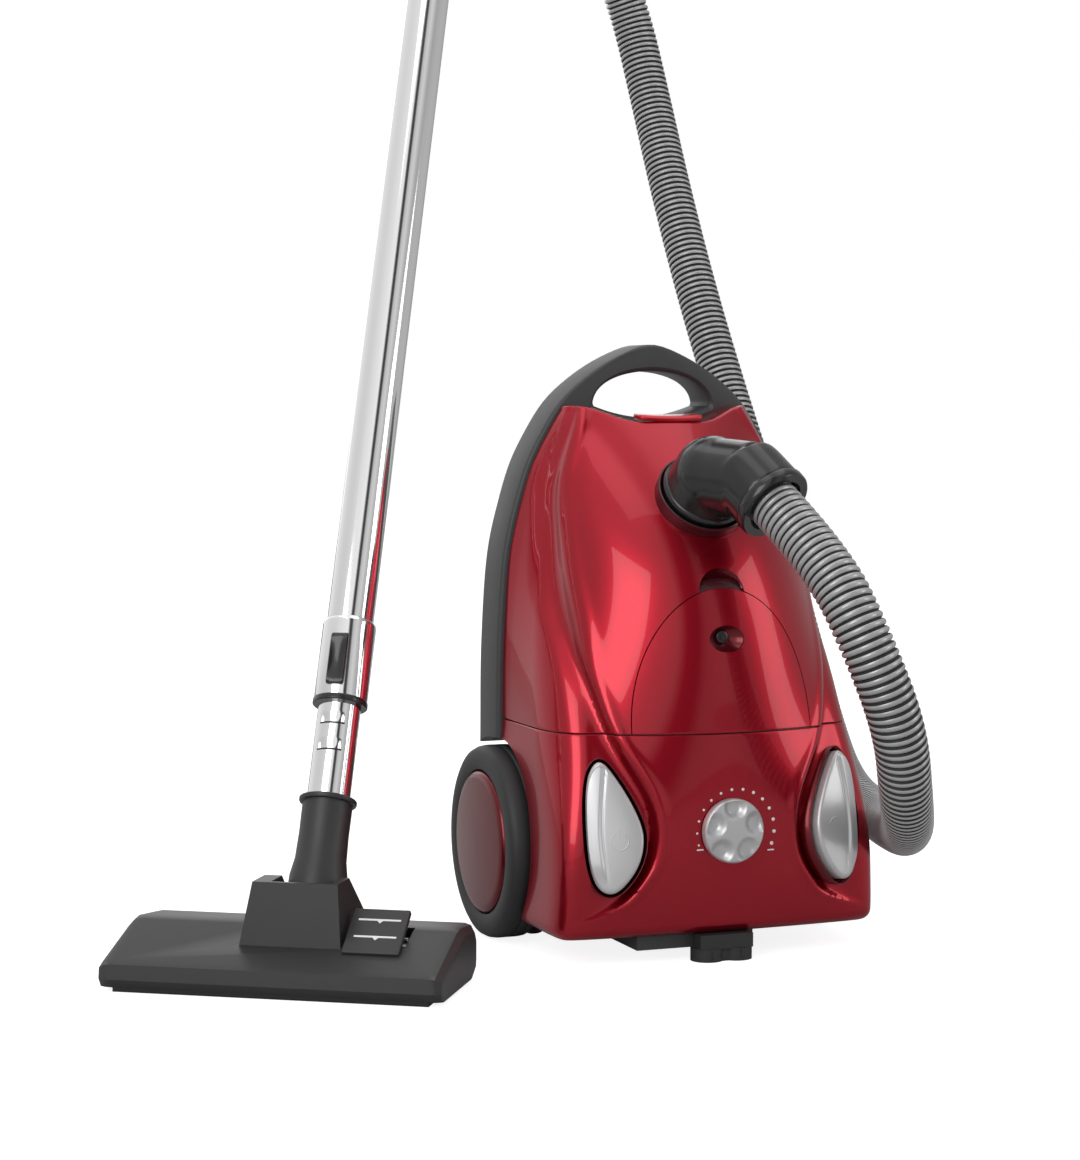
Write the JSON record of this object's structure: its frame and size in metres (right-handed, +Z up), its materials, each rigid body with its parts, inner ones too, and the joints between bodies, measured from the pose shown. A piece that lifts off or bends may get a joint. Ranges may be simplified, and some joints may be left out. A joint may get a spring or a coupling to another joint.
{
  "type": "canister vacuum cleaner",
  "caption": "Canister vacuum cleaner standing on its end, with large rear wheels, ribbed hose, bent handle, telescopic wand and floor head.",
  "frame": {"origin": "centre of the stand foot's sole, on the floor", "axes": "+X across the canister towards the hose's loop, +Y from the red front to the wheeled underside, +Z up"},
  "size_m": [0.6834, 0.7854, 0.8974],
  "materials": {
    "red_gloss": "metallic red lacquer, glossy",
    "red_light": "lighter red, glossy",
    "dark_red": "dark red, glossy",
    "frame_grey": "fine-grained charcoal",
    "foot_rubber": "ribbed",
    "tyre_rubber": "satin tread",
    "hub_grey": "moulded",
    "pin_steel": "turned",
    "silver": "silver lacquer, satin",
    "charcoal": "satin charcoal",
    "indicator": "dark window with a rim",
    "hose_grey": "ribbed, satin",
    "chrome": "polished",
    "sole": "smooth",
    "bristle": "bristles",
    "inner_grey": "moulded",
    "seal": "soft",
    "bag_fabric": "non-woven",
    "filter": "felt",
    "rotor": "cast",
    "board": "printed board",
    "switch_black": "moulded"
  },
  "bodies": {
    "canister": {"bag_holder": "inner_grey", "base_plate": "frame_grey", "control_board": "board", "cord_outlet": "frame_grey", "dust_bag": "bag_fabric", "dust_tub": "inner_grey", "exhaust_filter": "filter", "exhaust_grille": "frame_grey", "front_shell": "red_gloss", "handle": "charcoal", "hose": "hose_grey", "hose_cuff": "charcoal", "lid_seal": "seal", "motor_filter": "filter", "motor_housing": "inner_grey", "motor_mounts": "seal", "outer_tube": "chrome", "pedal_springs": "pin_steel", "power_switch": "switch_black", "rear_frame": "frame_grey", "reel_axle": "pin_steel", "reel_spring_housing": "inner_grey", "sleeve": "chrome", "sleeve_lip": "foot_rubber", "stand_foot": "foot_rubber", "wheel_axles": "pin_steel"},
    "lid": {"dust_lid": "red_gloss", "accessory_tray": "inner_grey", "inlet_collar": "charcoal", "elbow": "charcoal"},
    "cover": {"accessory_cover": "red_gloss", "dust_indicator": "indicator"},
    "latch": {"lid_latch": "red_light"},
    "left_wheel": {"left_tyre": "tyre_rubber", "left_wheel_hub": "hub_grey", "left_hubcap": "dark_red"},
    "right_wheel": {"right_tyre": "tyre_rubber", "right_wheel_hub": "hub_grey", "right_hubcap": "dark_red"},
    "caster": {"caster_fork": "frame_grey", "caster_axle": "pin_steel"},
    "caster_roller": {"caster_wheel": "tyre_rubber"},
    "power_button": {"power_pedal": "silver"},
    "rewind_button": {"rewind_pedal": "silver"},
    "knob": {"suction_knob": "silver", "knob_shaft": "pin_steel"},
    "fan": {"fan_rotor": "rotor"},
    "reel": {"reel_drum": "inner_grey"},
    "wand_inner": {"inner_tube": "chrome", "neck": "charcoal"},
    "tube_release": {"release_button": "charcoal"},
    "air_valve": {"air_slider": "charcoal"},
    "floor_head": {"head_cover": "charcoal", "sole_plate": "sole", "head_pins": "pin_steel", "neck_pin": "pin_steel"},
    "rocker": {"rocker_pedal": "charcoal"},
    "brush": {"brush_strips": "bristle"},
    "roller": {"head_roller": "tyre_rubber"}
  },
  "joints": [
    {"name": "lid_hinge", "type": "hinge", "parent": "canister", "child": "lid", "pos_m": [0, -0.015, 0.16], "axis": [1, 0, 0], "range_deg": [0, 75], "deforming": ["hose"]},
    {"name": "cover_hinge", "type": "hinge", "parent": "lid", "child": "cover", "pos_m": [0, -0.015, 0.162], "axis": [1, 0, 0], "range_deg": [0, 70]},
    {"name": "latch_slide", "type": "slide", "parent": "lid", "child": "latch", "axis": [0, 1, 0], "range_m": [0, 0.003], "stiffness_N_per_m": 800, "springref_m": -0.002},
    {"name": "left_wheel_spin", "type": "hinge", "parent": "canister", "child": "left_wheel", "pos_m": [-0.117, 0.133, 0.07], "axis": [1, 0, 0], "continuous": true},
    {"name": "right_wheel_spin", "type": "hinge", "parent": "canister", "child": "right_wheel", "pos_m": [0.117, 0.133, 0.07], "axis": [1, 0, 0], "continuous": true},
    {"name": "caster_swivel", "type": "hinge", "parent": "canister", "child": "caster", "pos_m": [0, 0.16, 0.325], "axis": [0, 1, 0], "continuous": true},
    {"name": "caster_spin", "type": "hinge", "parent": "caster", "child": "caster_roller", "pos_m": [0, 0.188, 0.317], "axis": [1, 0, 0], "continuous": true},
    {"name": "power_press", "type": "slide", "parent": "canister", "child": "power_button", "axis": [0.37, 0.9158, -0.1564], "range_m": [0, 0.004], "stiffness_N_per_m": 1500, "springref_m": -0.001, "deforming": ["pedal_springs"]},
    {"name": "rewind_press", "type": "slide", "parent": "canister", "child": "rewind_button", "axis": [-0.37, 0.9158, -0.1564], "range_m": [0, 0.004], "stiffness_N_per_m": 1500, "springref_m": -0.001, "deforming": ["pedal_springs"]},
    {"name": "knob_turn", "type": "hinge", "parent": "canister", "child": "knob", "pos_m": [0, -0.02, 0.093], "axis": [0, 1, 0], "range_deg": [-135, 135]},
    {"name": "fan_spin", "type": "hinge", "parent": "canister", "child": "fan", "pos_m": [-0.041, 0.084, 0.08], "axis": [0, 0, 1], "continuous": true},
    {"name": "reel_spin", "type": "hinge", "parent": "canister", "child": "reel", "pos_m": [0.05, 0.084, 0.088], "axis": [1, 0, 0], "continuous": true},
    {"name": "tube_extend", "type": "slide", "parent": "canister", "child": "wand_inner", "axis": [-0.2314, -0.3536, -0.9063], "range_m": [-0.05, 0.25]},
    {"name": "release_slide", "type": "slide", "parent": "canister", "child": "tube_release", "axis": [-0.2314, -0.3536, -0.9063], "range_m": [0, 0.006], "stiffness_N_per_m": 600, "springref_m": -0.002},
    {"name": "air_slide", "type": "slide", "parent": "canister", "child": "air_valve", "axis": [0.4866, 0.7165, 0.4998], "range_m": [0, 0.012]},
    {"name": "head_pitch", "type": "hinge", "parent": "wand_inner", "child": "floor_head", "pos_m": [-0.29011, 0.02363, 0.032], "axis": [0.8368, -0.5476, 0], "range_deg": [-22, 40]},
    {"name": "rocker_tilt", "type": "hinge", "parent": "floor_head", "child": "rocker", "pos_m": [-0.25531, -0.01816, 0.03468], "axis": [0.8368, -0.5476, 0], "range_deg": [0, 9]},
    {"name": "brush_drop", "type": "slide", "parent": "floor_head", "child": "brush", "axis": [0, 0, -1], "range_m": [0, 0.0044]},
    {"name": "roller_spin", "type": "hinge", "parent": "floor_head", "child": "roller", "pos_m": [-0.27879, 0.06284, 0.006], "axis": [0.8368, -0.5476, 0], "continuous": true}
  ],
  "couplings": [
    {"joint": "rocker_tilt", "follows": "brush_drop", "rad_per_m": 35.7}
  ]
}
